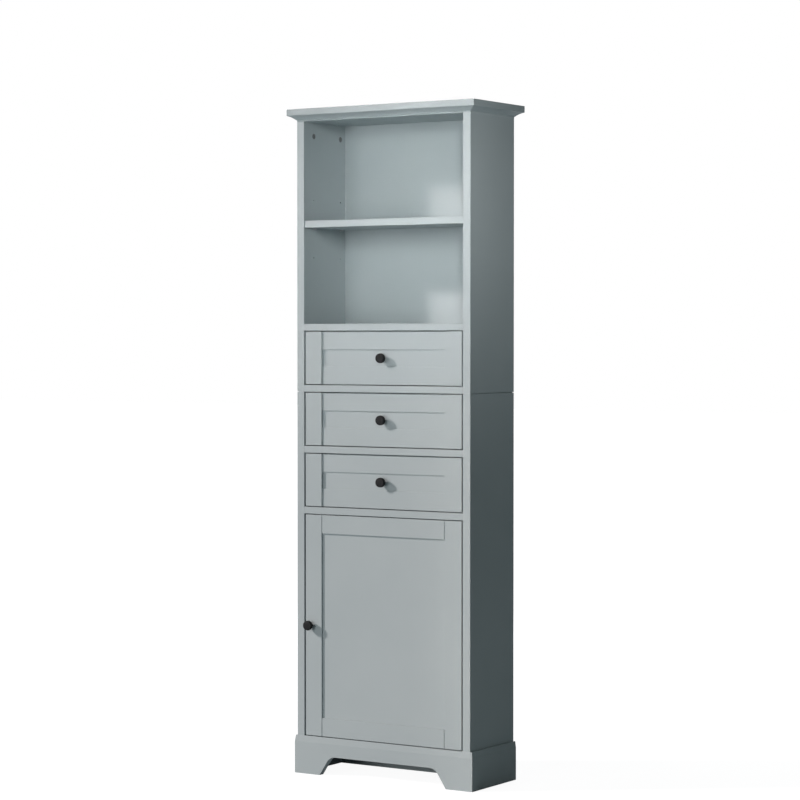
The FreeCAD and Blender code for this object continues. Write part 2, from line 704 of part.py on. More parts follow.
def joint_lines(rail):
    """Takes a fine rebate off both ends of a door rail's face, a line along its joints with the stiles."""
    end = front_half - STILE_W
    depth = (front_face, front_face + DOOR_JOINT_DEPTH)
    height = (rail.BoundBox.ZMin, rail.BoundBox.ZMax)
    for sign in SIDES.values():
        rail = rail.cut(block((sign * end, sign * (end - DOOR_JOINT_W)), depth, height))
    return rail


def door():
    z0 = PLINTH_H + FRONT_GAP
    z1 = z_cupboard_top - FRONT_GAP
    stiles, rails, panel = framed_front(z0, z1, DOOR_RAIL_W, 0, DOOR_PANEL_BACK)
    add("door_stile_left", stiles[0])
    add("door_stile_right", stiles[1])
    add("door_rail_bottom", joint_lines(rails[0]))
    add("door_rail_top", joint_lines(rails[1]))
    add("door_panel", panel)
    grip_point = Vector(-front_half + DOOR_KNOB_EDGE, front_face, (z0 + z1) / 2)
    knob, screw, hole = knob_and_screw(grip_point, FRONT_T)
    add("door_knob", knob, screw)
    drill("door_stile_left", hole)
    for z in (z0 + HINGE_END, z1 - HINGE_END):
        hinge(z)


def catch():
    """A magnet under the cupboard's top and its steel plate on the back of the door."""
    width, depth, height = CATCH_SIZE
    x0 = -inner_half + CATCH_FROM_SIDE
    plate_w, plate_t, plate_h = CATCH_PLATE_SIZE
    y0 = front_rear + plate_t + CATCH_GAP
    body = block((x0, x0 + width), (y0, y0 + depth), (z_cupboard_top - height, z_cupboard_top))
    add("magnetic_catch", eased(body, "z"))
    mid_x = x0 + width / 2
    plate_top = z_cupboard_top - FRONT_GAP - EDGE_EASE
    plate_x = (mid_x - plate_w / 2, mid_x + plate_w / 2)
    plate_y = (front_rear, front_rear + plate_t)
    add("catch_plate", block(plate_x, plate_y, (plate_top - plate_h, plate_top)))


def export():
    """Moves every piece so that the origin is on the floor under the object's middle, and writes it."""
    os.makedirs("parts", exist_ok=True)
    everything = Part.makeCompound([solid for solids in pieces.values() for solid in solids])
    bounds = everything.BoundBox
    shift = Vector(0, -(bounds.YMin + bounds.YMax) / 2, 0)
    for node, solids in pieces.items():
        shape = solids[0] if len(solids) == 1 else Part.makeCompound(solids)
        shape = shape.translated(shift)
        count = sum(len(solid.Solids) for solid in solids)
        if count != len(solids) or not shape.isValid():
            raise ValueError(node + " is not made of whole solids")
        shape.exportStep("parts/" + node + ".step")
    print(len(pieces), "nodes, overall", bounds.XLength, bounds.YLength, bounds.ZLength)
    print("front plane at y", shift.y)


side_panels()
full_boards()
inner_boards()
shelves()
cams_in_sides()
cams_in_boards()
stacking_dowels()
cornice()
plinth()
drawers()
door()
catch()
export()
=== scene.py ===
import json
import math

import bpy
import numpy as np
from bpy.props import FloatProperty, FloatVectorProperty, IntProperty, PointerProperty
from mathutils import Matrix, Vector


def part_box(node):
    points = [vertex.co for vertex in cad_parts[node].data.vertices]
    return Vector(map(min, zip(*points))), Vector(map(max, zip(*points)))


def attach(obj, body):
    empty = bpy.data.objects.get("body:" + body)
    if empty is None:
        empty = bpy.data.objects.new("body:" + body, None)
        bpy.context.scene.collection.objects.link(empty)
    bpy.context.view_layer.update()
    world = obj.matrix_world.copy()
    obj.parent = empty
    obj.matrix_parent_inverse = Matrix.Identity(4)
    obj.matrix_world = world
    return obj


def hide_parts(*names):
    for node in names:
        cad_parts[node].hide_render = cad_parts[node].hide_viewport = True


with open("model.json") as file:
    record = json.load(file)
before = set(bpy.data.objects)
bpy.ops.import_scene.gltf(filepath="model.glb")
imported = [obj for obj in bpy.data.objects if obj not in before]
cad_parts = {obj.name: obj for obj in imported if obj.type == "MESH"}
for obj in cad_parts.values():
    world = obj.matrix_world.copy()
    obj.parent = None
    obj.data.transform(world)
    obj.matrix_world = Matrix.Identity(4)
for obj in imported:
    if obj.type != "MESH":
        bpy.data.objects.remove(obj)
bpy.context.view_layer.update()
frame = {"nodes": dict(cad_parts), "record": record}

# Finishes for a tall painted bathroom cabinet, and the plain studio that it stands in.
# Metres, +X to the right, +Y to the back, +Z up, with the origin on the floor under the cabinet.

bl_info = {
    "name": "Tall bathroom cabinet",
    "version": (1, 0, 0),
    "blender": (4, 5, 0),
    "location": "View3D > Sidebar > Cabinet",
    "description": "Paints a tall bathroom cabinet, adds its turned and rolled metal and sets up a studio",
    "category": "Object",
}

MM = 0.001
WHITE = (1.0, 1.0, 1.0)
DRAWERS = ("drawer_1", "drawer_2", "drawer_3")
KNOB_FACES = {
    "drawer_1_knob": ("drawer_1", "drawer_1_front_panel"),
    "drawer_2_knob": ("drawer_2", "drawer_2_front_panel"),
    "drawer_3_knob": ("drawer_3", "drawer_3_front_panel"),
    "door_knob": ("door", "door_stile_left"),
}


def span(node):
    """The width, depth and height of a CAD node."""
    low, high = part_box(node)
    return high - low


def nodes_in_slot(slot):
    """The CAD objects whose packed material is that slot of the record."""
    return [obj for obj in frame["nodes"].values() if obj.data.materials[0].name.split(".")[0] == slot]


CAD_SLOTS = {slot["slot"]: nodes_in_slot(slot["slot"]) for slot in frame["record"]["materials"]}


# Settings
class PaintSettings(bpy.types.PropertyGroup):
    """The satin paint on the boards that show."""

    colour: FloatVectorProperty(
        name="Paint", description="Colour of the paint on flat faces", subtype="COLOR", size=3,
        min=0.0, max=1.0, default=(0.385, 0.445, 0.455))
    deep_colour: FloatVectorProperty(
        name="Thick paint", description="Colour where the coat is a little thicker", subtype="COLOR",
        size=3, min=0.0, max=1.0, default=(0.368, 0.428, 0.439))
    # Painted highlight: a paler colour laid along every edge of the boards and fronts.
    edge_highlight_colour: FloatVectorProperty(
        name="Edge paint", description="Colour where the coat draws thin over an edge", subtype="COLOR",
        size=3, min=0.0, max=1.0, default=(0.46, 0.515, 0.525))
    roughness: FloatProperty(
        name="Roughness", description="How dull the satin coat is", subtype="FACTOR",
        min=0.0, max=1.0, default=0.5)
    shine: FloatProperty(
        name="Shine", description="How strongly the coat reflects", subtype="FACTOR",
        min=0.0, max=1.0, default=0.05)
    peel_size: FloatProperty(
        name="Orange peel", description="Width of the sprayed coat's ripples", unit="LENGTH",
        min=0.1 * MM, max=10 * MM, default=1.6 * MM)
    peel_depth: FloatProperty(
        name="Peel depth", description="Height of the sprayed coat's ripples", unit="LENGTH",
        min=0.0, max=1 * MM, default=0.02 * MM)
    # Width of the band along each edge that takes the painted highlight.
    edge_width: FloatProperty(
        name="Edge width", description="How far from an edge the coat is thin", unit="LENGTH",
        min=0.1 * MM, max=10 * MM, default=1.8 * MM)


class BoardSettings(bpy.types.PropertyGroup):
    """The matt boards inside: drawer boxes, the loose shelf and the cupboard's back."""

    colour: FloatVectorProperty(
        name="Board", description="Colour of the matt coat inside", subtype="COLOR", size=3,
        min=0.0, max=1.0, default=(0.40, 0.46, 0.47))
    fleck_colour: FloatVectorProperty(
        name="Fleck", description="Colour of the fibres that show through", subtype="COLOR", size=3,
        min=0.0, max=1.0, default=(0.35, 0.40, 0.405))
    fibre_length: FloatProperty(
        name="Fibre", description="Length of the fibres under the thin coat", unit="LENGTH",
        min=0.1 * MM, max=20 * MM, default=4 * MM)
    roughness: FloatProperty(
        name="Roughness", description="How dull the matt coat is", subtype="FACTOR",
        min=0.0, max=1.0, default=0.62)


class KnobSettings(bpy.types.PropertyGroup):
    """The turned black knobs and the screws that hold them."""

    head_radius: FloatProperty(
        name="Head radius", description="Radius of the knob's head", unit="LENGTH",
        default=span("drawer_1_knob").x / 2)
    length: FloatProperty(
        name="Length", description="How far a knob stands out of its front", unit="LENGTH",
        default=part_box("drawer_1_front_panel")[0].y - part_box("drawer_1_knob")[0].y)
    head_thickness: FloatProperty(
        name="Head thickness", description="Depth of the head, dome included", unit="LENGTH",
        default=11.5 * MM)
    dome: FloatProperty(
        name="Dome", description="Rise of the domed face", unit="LENGTH", default=1.2 * MM)
    rim: FloatProperty(
        name="Rim", description="How far the rounded rim swells past the face", unit="LENGTH",
        default=0.8 * MM)
    neck_radius: FloatProperty(
        name="Neck radius", description="Radius of the waist", unit="LENGTH", default=4.2 * MM)
    base_radius: FloatProperty(
        name="Base radius", description="Radius of the foot on the front", unit="LENGTH", default=5 * MM)
    base_thickness: FloatProperty(
        name="Base thickness", description="Thickness of the foot", unit="LENGTH", default=2 * MM)
    base_round: FloatProperty(
        name="Base rounding", description="Rounding of the foot's edge", unit="LENGTH", default=0.7 * MM)
    screw_radius: FloatProperty(
        name="Screw radius", description="Radius of the fixing screw", unit="LENGTH", default=2 * MM)
    screw_head_radius: FloatProperty(
        name="Screw head radius", description="Radius of the fixing screw's head", unit="LENGTH",
        default=4 * MM)
    screw_head: FloatProperty(
        name="Screw head", description="Thickness of the fixing screw's head", unit="LENGTH",
        default=2 * MM)
    steps: IntProperty(
        name="Steps", description="Faces round a knob", min=12, max=256, default=96)
    colour: FloatVectorProperty(
        name="Black", description="Colour of the black coat", subtype="COLOR", size=3,
        min=0.0, max=1.0, default=(0.009, 0.0098, 0.0105))
    shine: FloatProperty(
        name="Shine", description="How strongly the black coat reflects", subtype="FACTOR",
        min=0.0, max=1.0, default=0.1)
    rub_colour: FloatVectorProperty(
        name="Rubbed black", description="Colour where the coat is a little paler", subtype="COLOR",
        size=3, min=0.0, max=1.0, default=(0.016, 0.0175, 0.0185))


class HardwareSettings(bpy.types.PropertyGroup):
    """Slides, hinges, cams, pins, the catch and the dowels."""

    zinc_colour: FloatVectorProperty(
        name="Zinc", description="Colour of the plated steel", subtype="COLOR", size=3,
        min=0.0, max=1.0, default=(0.60, 0.61, 0.62))
    dull_zinc_colour: FloatVectorProperty(
        name="Dull zinc", description="Colour of the plating's dull spangles", subtype="COLOR", size=3,
        min=0.0, max=1.0, default=(0.50, 0.51, 0.53))
    # The cams' grey is darker than their metal: painted shade and painted dark reflections of the cabinet's
    # inside.
    cam_shade_colour: FloatVectorProperty(
        name="Cams", description="Colour of the cast cams' grey metal", subtype="COLOR", size=3,
        min=0.0, max=1.0, default=(0.27, 0.28, 0.285))
    cam_pit_colour: FloatVectorProperty(
        name="Cam pits", description="Colour of the casting's darker pits", subtype="COLOR", size=3,
        min=0.0, max=1.0, default=(0.17, 0.175, 0.18))
    spangle_size: FloatProperty(
        name="Spangle", description="Width of the plating's spangles", unit="LENGTH",
        min=0.5 * MM, max=50 * MM, default=6 * MM)
    wall: FloatProperty(
        name="Slide wall", description="Thickness of the slides' rolled strip", unit="LENGTH",
        default=1.2 * MM)
    bend_radius: FloatProperty(
        name="Slide bend", description="Outer radius of the slides' rolled bends", unit="LENGTH",
        default=2.4 * MM)
    plastic_colour: FloatVectorProperty(
        name="Catch", description="Colour of the catch's moulded case", subtype="COLOR", size=3,
        min=0.0, max=1.0, default=(0.70, 0.70, 0.69))
    beech_colour: FloatVectorProperty(
        name="Beech", description="Colour of the dowels' pale grain", subtype="COLOR", size=3,
        min=0.0, max=1.0, default=(0.62, 0.45, 0.27))
    beech_dark_colour: FloatVectorProperty(
        name="Beech rays", description="Colour of the dowels' dark grain", subtype="COLOR", size=3,
        min=0.0, max=1.0, default=(0.45, 0.30, 0.16))


class StageSettings(bpy.types.PropertyGroup):
    """The floor, the lamps and the camera."""

    azimuth: FloatProperty(
        name="Azimuth", description="How far the camera stands to the right of straight ahead",
        subtype="ANGLE", default=math.radians(32.844))
    elevation: FloatProperty(
        name="Elevation", description="How far the camera looks down", subtype="ANGLE",
        default=math.radians(1.384))
    distance: FloatProperty(
        name="Distance", description="From the camera to the point it looks at", unit="LENGTH",
        default=6.630)
    aim_height: FloatProperty(
        name="Aim height", description="Height of the point that the camera looks at", unit="LENGTH",
        default=0.979)
    aim_side: FloatProperty(
        name="Aim side", description="How far that point is to the picture's right of the cabinet's middle",
        unit="LENGTH", default=-0.0115)
    lens: FloatProperty(
        name="Lens", description="Focal length in millimetres on a 36 mm wide picture", default=115.03)
    key_strength: FloatProperty(
        name="Key light", description="Strength of the far lamp high on the left", min=0.0, default=2.94)
    key_angle: FloatProperty(
        name="Key size", description="How wide the far lamp looks from the cabinet", subtype="ANGLE",
        default=math.radians(5.0))
    front_power: FloatProperty(
        name="Front softbox", description="Power of the wide softbox in front", unit="POWER",
        default=58.0)
    strip_power: FloatProperty(
        name="Strip lamp", description="Power of the tall strip by the fronts' right edge", unit="POWER",
        default=0.37)
    bay_power: FloatProperty(
        name="Bay lamp", description="Power of the small lamp on the open bay", unit="POWER",
        default=1.04)
    back_power: FloatProperty(
        name="Back softbox", description="Power of the wide softbox behind", unit="POWER", default=60.0)
    ambient: FloatProperty(
        name="Room light", description="Strength of the light from all round", min=0.0, default=0.052)
    floor_colour: FloatVectorProperty(
        name="Floor", description="Colour of the floor as it lights the cabinet", subtype="COLOR", size=3,
        min=0.0, max=1.0, default=(0.34, 0.42, 0.45))
    shade_colour: FloatVectorProperty(
        name="Floor shade", description="Share of the lamps' light that the floor shows and a shadow takes",
        subtype="COLOR", size=3, min=0.0, max=1.0, default=(0.18, 0.185, 0.19))
    floor_glow: FloatProperty(
        name="Floor glow", description="How white the floor looks by the cabinet, before its own light",
        subtype="FACTOR", min=0.0, max=1.0, default=0.94)
    floor_size: FloatProperty(
        name="Floor size", description="Width of the floor", unit="LENGTH", default=60.0)


SETTINGS = {
    "cabinet_paint": PaintSettings,
    "cabinet_boards": BoardSettings,
    "cabinet_knobs": KnobSettings,
    "cabinet_hardware": HardwareSettings,
    "cabinet_stage": StageSettings,
}


# Surfaces
SHARP_ANGLE = math.radians(35)
BEND_STEPS = 8
LIP_STEPS = 5
FOOT_STEPS = 6
NECK_STEPS = 20
RIM_STEPS = 14
DOME_STEPS = 16
SCREW_HEAD_STEPS = 8


def arc_through(start, middle, end, count):
    """Points on the circle through three points: the centre is equally far from all three, and the angle
    runs evenly from the first to the last by way of the middle one."""
    a, b, c = (np.array(p, float) for p in (start, middle, end))
    rows = np.array([b - a, c - a]) * 2
    centre = np.linalg.solve(rows, np.array([b @ b - a @ a, c @ c - a @ a]))
    angles = np.unwrap([math.atan2(p[1] - centre[1], p[0] - centre[0]) for p in (a, b, c)])
    turn = np.linspace(angles[0], angles[2], count)
    radius = np.linalg.norm(a - centre)
    return centre + radius * np.stack([np.cos(turn), np.sin(turn)], 1)


def quarter(centre, radius, start, count):
    """Points on a quarter circle about a centre, from a start angle in quarter turns, turning left."""
    turn = (start + np.linspace(0, 1, count)) * math.pi / 2
    return np.array(centre) + radius * np.stack([np.cos(turn), np.sin(turn)], 1)


def lathe(profile, steps):
    """A profile of (radius, height) points turned round the height axis. Point (i, j) is
    (r_i cos t_j, r_i sin t_j, h_i) with t_j = 2 pi j / steps. The ends lie on the axis, one vertex each."""
    turn = np.arange(steps) * 2 * math.pi / steps
    radius, height = profile[1:-1].T
    rings = np.stack([np.outer(radius, np.cos(turn)), np.outer(radius, np.sin(turn))], -1)
    rings = np.concatenate([rings, np.broadcast_to(height[:, None, None], rings.shape[:2] + (1,))], -1)
    ends = [[0, 0, profile[0, 1]], [0, 0, profile[-1, 1]]]
    points = np.concatenate([rings.reshape(-1, 3), ends])
    index = np.arange(len(radius) * steps).reshape(len(radius), steps)
    after = np.roll(index, -1, 1)
    bands = np.stack([index[:-1], after[:-1], after[1:], index[1:]], -1).reshape(-1, 4)
    first, last = index.size, index.size + 1
    bottom = np.stack([np.full(steps, first), after[0], index[0]], -1)
    top = np.stack([np.full(steps, last), index[-1], after[-1]], -1)
    return points, bands.tolist() + bottom.tolist() + top.tolist()


def sweep_along_y(outline, y0, y1):
    """A closed outline of (x, z) points, counter-clockwise from the front, carried straight from y0 back
    to y1. Point (i, j) is the outline's point i at end j, and a flat face closes each end."""
    count = len(outline)
    ends = [np.insert(outline, 1, y, 1) for y in (y0, y1)]
    index = np.arange(count)
    after = np.roll(index, -1)
    walls = np.stack([index, index + count, after + count, after], -1)
    return np.concatenate(ends), walls.tolist() + [index.tolist(), (index + count)[::-1].tolist()]


def join(parts):
    """Several (points, faces) surfaces as one, with the material number of each face."""
    points, faces, materials, start = [], [], [], 0
    for part_points, part_faces, material in parts:
        points.append(part_points)
        faces += [[start + i for i in face] for face in part_faces]
        materials += [material] * len(part_faces)
        start += len(part_points)
    return np.concatenate(points), faces, materials


def make_piece(name, parts, materials, sharp_angle):
    """An object at the origin from several surfaces, shaded smooth up to an angle between faces."""
    points, faces, numbers = join(parts)
    mesh = bpy.data.meshes.new(name)
    mesh.from_pydata(points.tolist(), [], faces)
    for material in materials:
        mesh.materials.append(material)
    mesh.polygons.foreach_set("material_index", np.array(numbers, np.int32))
    mesh.polygons.foreach_set("use_smooth", np.ones(len(faces), bool))
    mesh.set_sharp_from_angle(angle=sharp_angle)
    if mesh.validate():
        raise ValueError(name + " has faces that are not sound")
    obj = bpy.data.objects.new(name, mesh)
    bpy.context.scene.collection.objects.link(obj)
    return obj


# Materials
# Sizes of the patterns in the finishes, and depths of their relief
PAINT_CLOUD = 220 * MM
PAINT_PATCH = 35 * MM
BOARD_PATCH = 50 * MM
BOARD_RELIEF = 0.03 * MM
KNOB_BLOOM = 9 * MM
KNOB_PATCH = 3 * MM
KNOB_GRAIN = 0.5 * MM
KNOB_RELIEF = 0.02 * MM
ROLLING_LINE = 0.4 * MM
ROLLING_RELIEF = 0.004 * MM
CAM_PIT = 1.5 * MM
CAM_RELIEF = 0.03 * MM
PLASTIC_CLOUD = 12 * MM
PLASTIC_SPARK = 0.6 * MM
PLASTIC_RELIEF = 0.02 * MM
BEECH_GRAIN = 0.7 * MM
BEECH_RELIEF = 0.03 * MM

# How far a pattern is drawn out along x, y and z
FIBRE_STRETCH = (1.0, 4.0, 1.0)
ROLLING_STRETCH = (1.0, 60.0, 1.0)
GRAIN_STRETCH = (1.0, 1.0, 14.0)

# Roughness, from the glossiest patches to the dullest, or either side of a setting
KNOB_ROUGHNESS = (0.42, 0.54)
ZINC_ROUGHNESS = (0.30, 0.44)
CAM_ROUGHNESS = (0.45, 0.6)
PLASTIC_ROUGHNESS = (0.42, 0.55)
BEECH_ROUGHNESS = (0.55, 0.7)
PAINT_ROUGHNESS_SPREAD = 0.05
BOARD_ROUGHNESS_SPREAD = 0.06

BOARD_SHINE = 0.3
PLASTIC_SHADE = 0.93
EDGE_SAMPLES = 6
EDGE_LEAN = (0.98, 0.75)
NOISE_SPAN = (0.3, 0.7)


class Nodes:
    """Adds nodes to the tree of one material or world and links them."""

    def __init__(self, owner):
        owner.use_nodes = True
        self.owner = owner
        self.tree = owner.node_tree

    def add(self, kind, inputs=None, **settings):
        """A node with its settings, and a value or a link for each named input."""
        node = self.tree.nodes.new(kind)
        for key, value in settings.items():
            setattr(node, key, value)
        for key, value in (inputs or {}).items():
            self.put(node.inputs[key], value)
        return node

    def put(self, socket, value):
        if isinstance(value, bpy.types.NodeSocket):
            self.tree.links.new(value, socket)
        else:
            socket.default_value = value


class MaterialNodes(Nodes):
    """A new material, whose patterns lie in the piece's own place and meet in one shader."""

    def __init__(self, name):
        super().__init__(bpy.data.materials.new(name))
        self.shader = self.tree.nodes["Principled BSDF"]
        self.place = self.add("ShaderNodeTexCoord").outputs["Object"]

    def noise(self, size, detail=2.0, stretch=(1.0, 1.0, 1.0)):
        """Noise whose blobs are about one size across, drawn out along an axis by its stretch."""
        scale = [1.0 / (size * s) for s in stretch]
        place = self.add("ShaderNodeMapping", {"Vector": self.place, "Scale": scale}).outputs["Vector"]
        noise = self.add("ShaderNodeTexNoise", {"Vector": place, "Scale": 1.0, "Detail": detail})
        return noise.outputs["Fac"]

    def ramp(self, value, low, high, to_low=0.0, to_high=1.0):
        """A value spread from one span to another, held at its ends."""
        inputs = {"Value": value, "From Min": low, "From Max": high, "To Min": to_low, "To Max": to_high}
        return self.add("ShaderNodeMapRange", inputs).outputs["Result"]

    def uneven(self, pattern, roughness):
        """A roughness that follows a pattern from its low end to its high one."""
        return self.ramp(pattern, *NOISE_SPAN, *roughness)

    def blend(self, share, first, second):
        """A mix of two colours, each a colour or a link."""
        mix = self.add("ShaderNodeMix", data_type="RGBA")
        colours = [s for s in mix.inputs if s.type == "RGBA"]
        self.put(next(s for s in mix.inputs if s.type == "VALUE"), share)
        for socket, colour in zip(colours, (first, second)):
            self.put(socket, colour if isinstance(colour, bpy.types.NodeSocket) else (*colour, 1.0))
        return next(s for s in mix.outputs if s.type == "RGBA")

    def edges(self, width):
        """1 on an edge of the piece and 0 on its flats: how far a rounded normal leans off the true one."""
        soft = self.add("ShaderNodeBevel", {"Radius": width}, samples=EDGE_SAMPLES).outputs["Normal"]
        true = self.add("ShaderNodeNewGeometry").outputs["True Normal"]
        lean = self.add("ShaderNodeVectorMath", {0: soft, 1: true}, operation="DOT_PRODUCT")
        return self.ramp(lean.outputs["Value"], *EDGE_LEAN)

    def bump(self, height, depth):
        """A bump of real depth from a height between 0 and 1."""
        inputs = {"Height": height, "Distance": depth, "Strength": 1.0}
        return self.add("ShaderNodeBump", inputs).outputs["Normal"]

    def surface(self, **inputs):
        """Sets or links the shader's own inputs, named with underscores for spaces."""
        for key, value in inputs.items():
            self.put(self.shader.inputs[key.replace("_", " ")], value)
        return self.owner


def either_side(middle, spread):
    """The two ends of a span about its middle."""
    return middle - spread, middle + spread


def paint_material(settings):
    """Sprayed satin paint: broad clouds where the coat is thicker, fine orange peel, and a paler colour on
    the edges that paints in a highlight along every edge.
    """
    nodes = MaterialNodes("satin_paint")
    cloud = nodes.ramp(nodes.noise(PAINT_CLOUD, detail=3.0), low=0.35, high=0.65)
    flat = nodes.blend(cloud, settings.colour, settings.deep_colour)
    # Painted highlight: the edges get the paler edge colour.
    colour = nodes.blend(nodes.edges(settings.edge_width), flat, settings.edge_highlight_colour)
    dull = nodes.uneven(nodes.noise(PAINT_PATCH), either_side(settings.roughness, PAINT_ROUGHNESS_SPREAD))
    peel = nodes.bump(nodes.noise(settings.peel_size), settings.peel_depth)
    return nodes.surface(
        Base_Color=colour, Roughness=dull, Normal=peel, Specular_IOR_Level=settings.shine)


def board_material(settings):
    """A thin matt coat over fibreboard, with short fibres that show in colour and relief."""
    nodes = MaterialNodes("matt_board")
    fibres = nodes.noise(settings.fibre_length / FIBRE_STRETCH[1], detail=4.0, stretch=FIBRE_STRETCH)
    fleck = nodes.ramp(fibres, low=0.35, high=0.75)
    colour = nodes.blend(fleck, settings.colour, settings.fleck_colour)
    dull = nodes.uneven(nodes.noise(BOARD_PATCH), either_side(settings.roughness, BOARD_ROUGHNESS_SPREAD))
    return nodes.surface(
        Base_Color=colour, Roughness=dull, Normal=nodes.bump(fibres, BOARD_RELIEF),
        Specular_IOR_Level=BOARD_SHINE)


def knob_material(settings):
    """Satin black coat on cast metal: a fine cast grain, and a paler rubbed bloom."""
    nodes = MaterialNodes("satin_black")
    bloom = nodes.ramp(nodes.noise(KNOB_BLOOM, detail=3.0), low=0.4, high=0.75)
    colour = nodes.blend(bloom, settings.colour, settings.rub_colour)
    dull = nodes.uneven(nodes.noise(KNOB_PATCH), KNOB_ROUGHNESS)
    grain = nodes.bump(nodes.noise(KNOB_GRAIN), KNOB_RELIEF)
    return nodes.surface(
        Base_Color=colour, Roughness=dull, Normal=grain, Specular_IOR_Level=settings.shine)


def zinc_material(settings):
    """Zinc plated steel: pale and dull spangles, and fine drawn lines along the rolling."""
    nodes = MaterialNodes("zinc_plate")
    scale = 1.0 / settings.spangle_size
    cells = nodes.add("ShaderNodeTexVoronoi", {"Vector": nodes.place, "Scale": scale}).outputs["Color"]
    tone = nodes.add("ShaderNodeSeparateColor", {"Color": cells}).outputs["Red"]
    colour = nodes.blend(tone, settings.zinc_colour, settings.dull_zinc_colour)
    lines = nodes.noise(ROLLING_LINE, stretch=ROLLING_STRETCH)
    dull = nodes.uneven(lines, ZINC_ROUGHNESS)
    return nodes.surface(
        Base_Color=colour, Metallic=1.0, Roughness=dull, Normal=nodes.bump(lines, ROLLING_RELIEF))


def shaded_cam_material(settings):
    """Cast zinc alloy: a grainy skin with darker pits. Its grey is darker than bare zinc: painted shade and
    painted dark reflections of the cabinet's inside.
    """
    nodes = MaterialNodes("cast_cam")
    pits = nodes.noise(CAM_PIT, detail=3.0)
    colour = nodes.blend(nodes.ramp(pits, low=0.4, high=0.7), settings.cam_shade_colour, settings.cam_pit_colour)
    dull = nodes.uneven(pits, CAM_ROUGHNESS)
    return nodes.surface(
        Base_Color=colour, Metallic=1.0, Roughness=dull, Normal=nodes.bump(pits, CAM_RELIEF))


def plastic_material(settings):
    """Moulded plastic with a fine spark texture and slight clouding."""
    nodes = MaterialNodes("moulded_plastic")
    shade = tuple(PLASTIC_SHADE * c for c in settings.plastic_colour)
    colour = nodes.blend(nodes.noise(PLASTIC_CLOUD), settings.plastic_colour, shade)
    spark = nodes.noise(PLASTIC_SPARK, detail=3.0)
    dull = nodes.uneven(spark, PLASTIC_ROUGHNESS)
    return nodes.surface(Base_Color=colour, Roughness=dull, Normal=nodes.bump(spark, PLASTIC_RELIEF))


def beech_material(settings):
    """Bare turned beech: long grain and short dark rays along the dowels."""
    nodes = MaterialNodes("bare_beech")
    grain = nodes.noise(BEECH_GRAIN, detail=4.0, stretch=GRAIN_STRETCH)
    rays = nodes.ramp(grain, low=0.35, high=0.7)
    colour = nodes.blend(rays, settings.beech_colour, settings.beech_dark_colour)
    dull = nodes.uneven(grain, BEECH_ROUGHNESS)
    return nodes.surface(Base_Color=colour, Roughness=dull, Normal=nodes.bump(grain, BEECH_RELIEF))


def dress(slot, material):
    """Gives the material to every CAD node of a slot."""
    for obj in CAD_SLOTS[slot]:
        obj.material_slots[0].material = material


def zinc_plating():
    """The plating that the hinges wear, for the slides and screws that are made here."""
    return frame["nodes"]["hinge_plates"].material_slots[0].material


# Pieces
def knob_profile(knobs):
    """The knob's section as (radius, out) points: a rounded foot, a hollow neck, a swelling rim and a
    dome. The neck, the rim and the dome are arcs, each through its two ends and its middle."""
    head_back = knobs.length - knobs.head_thickness
    dome_start = knobs.length - knobs.dome
    shoulder = knobs.head_radius - knobs.rim
    ball = (shoulder ** 2 + knobs.dome ** 2) / (2 * knobs.dome)
    half = math.asin(shoulder / ball) / 2
    crown = (ball * math.sin(half), knobs.length - ball * (1 - math.cos(half)))
    fillet_centre = (knobs.base_radius - knobs.base_round, knobs.base_thickness - knobs.base_round)
    neck_mid = (knobs.neck_radius, (knobs.base_thickness + head_back) / 2)
    neck_foot = (fillet_centre[0], knobs.base_thickness)
    rim_mid = (knobs.head_radius, (head_back + dome_start) / 2)
    return np.concatenate([
        [(0, 0), (knobs.base_radius, 0)],
        quarter(fillet_centre, knobs.base_round, 0, FOOT_STEPS),
        arc_through(neck_foot, neck_mid, (shoulder, head_back), NECK_STEPS)[1:],
        arc_through((shoulder, head_back), rim_mid, (shoulder, dome_start), RIM_STEPS)[1:],
        arc_through((shoulder, dome_start), crown, (0, knobs.length), DOME_STEPS)[1:],
    ])


def screw_profile(knobs, sunk, grip):
    """A pan head screw as (radius, depth) points, from its tip inside the knob to its head behind, whose
    edge is a quarter circle."""
    shank, head = knobs.screw_radius, knobs.screw_head_radius
    head_round = knobs.screw_head / 2
    head_end = grip + knobs.screw_head
    round_centre = (head - head_round, head_end - head_round)
    return np.concatenate([
        [(0, -sunk), (shank, -sunk), (shank, grip), (head, grip)],
        quarter(round_centre, head_round, 0, SCREW_HEAD_STEPS),
        [(0, head_end)],
    ])


def rolled_channel(x_web, x_tip, z0, z1, wall, bend):
    """A rolled C section as (x, z) points: two bends of one outer radius, and rounded flange lips. The
    web stands at x_web, and the flanges reach to x_tip. The upper half mirrors the lower one."""
    out = abs(x_tip - x_web)
    height = z1 - z0
    inner = bend - wall
    lip = wall / 2
    lower = np.concatenate([
        quarter((bend, bend), bend, 2, BEND_STEPS),
        quarter((out - lip, lip), lip, 3, LIP_STEPS),
        quarter((out - lip, lip), lip, 0, LIP_STEPS)[1:],
        quarter((bend, bend), inner, 2, BEND_STEPS)[::-1],
    ])
    upper = (lower * (1, -1) + (0, height))[::-1]
    outline = np.concatenate([lower, upper])
    flip = 1 if x_tip > x_web else -1
    outline = outline * (flip, 1) + (x_web, z0)
    return outline if flip > 0 else outline[::-1]


def corners(node):
    """Every corner of a CAD node's mesh."""
    vertices = frame["nodes"][node].data.vertices
    flat = np.empty(len(vertices) * 3)
    vertices.foreach_get("co", flat)
    return flat.reshape(-1, 3)


def rolled_pair(points, web_outside, hardware):
    """The left and right channels that fill the space of a drawer's CAD channels. The web is on the side
    of the cabinet's wall or on the side of the drawer."""
    (_, y0, z0), (_, y1, z1) = points.min(0), points.max(0)
    near, far = np.abs(points[:, 0]).min(), np.abs(points[:, 0]).max()
    web, tip = (far, near) if web_outside else (near, far)
    strip = (hardware.wall, hardware.bend_radius)
    outlines = [rolled_channel(side * web, side * tip, z0, z1, *strip) for side in (-1, 1)]
    return [(*sweep_along_y(outline, y0, y1), 0) for outline in outlines]


